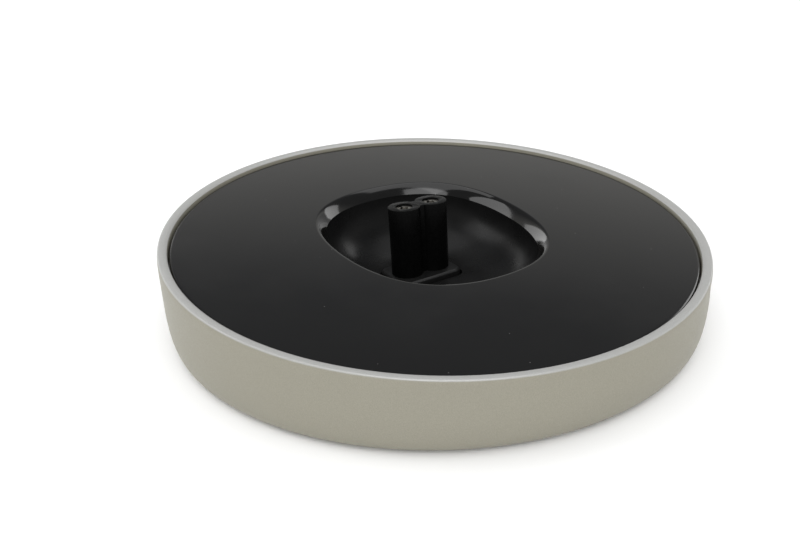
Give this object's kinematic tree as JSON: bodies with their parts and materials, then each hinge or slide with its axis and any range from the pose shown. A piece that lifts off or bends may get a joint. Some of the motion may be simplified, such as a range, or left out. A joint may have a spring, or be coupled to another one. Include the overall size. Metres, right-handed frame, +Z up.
{
  "type": "shaver charging stand",
  "caption": "Round wedge-shaped charging stand with a silver casing, gloss black plate, oval recess and a rocking two-pole connector post.",
  "frame": {"origin": "middle of the round base, on the table under the rubber feet", "axes": "+Z up, -Y to the low front edge, +Y to the rear power inlet, +X to the user's right"},
  "size_m": [0.1042, 0.1042, 0.0212],
  "materials": {
    "satin_silver": "satin metallic paint on plastic",
    "gloss_black": "high gloss",
    "tape": "foam tape",
    "bowl_black": "semi-gloss",
    "screw_steel": "zinc plated",
    "matte_black": "fine texture",
    "rubber": "matt",
    "ballast_steel": "plain rolled steel",
    "pin_metal": "plated",
    "lead_red": "insulation",
    "lead_black": "insulation",
    "sleeve": "shrink sleeve",
    "foot_black": "satin moulding",
    "post_black": "satin moulding"
  },
  "bodies": {
    "stand": {"outer_shell": "satin_silver", "top_plate": "gloss_black", "plate_tape": "tape", "recess_bowl": "bowl_black", "bowl_screws": "screw_steel", "bottom_cover": "matte_black", "cover_screws": "screw_steel", "front_left_foot": "rubber", "front_right_foot": "rubber", "rear_left_foot": "rubber", "rear_right_foot": "rubber", "ballast_plate": "ballast_steel", "ballast_screws": "screw_steel", "power_inlet": "matte_black", "inlet_pin_left": "pin_metal", "inlet_pin_right": "pin_metal", "inlet_screws": "screw_steel", "lead_left": "lead_red", "lead_right": "lead_black", "lead_sleeves": "sleeve", "lead_clamp": "matte_black", "clamp_screw": "screw_steel", "pivot_pin_left": "screw_steel", "pivot_pin_right": "screw_steel"},
    "connector": {"post_foot": "foot_black", "connector_post": "post_black", "contact_left": "pin_metal", "contact_right": "pin_metal"}
  },
  "joints": [
    {"name": "post_rock", "type": "hinge", "parent": "stand", "child": "connector", "pos_m": [0, 0.0032, 0.0037], "axis": [1, 0, 0], "range_deg": [0, 6]}
  ]
}
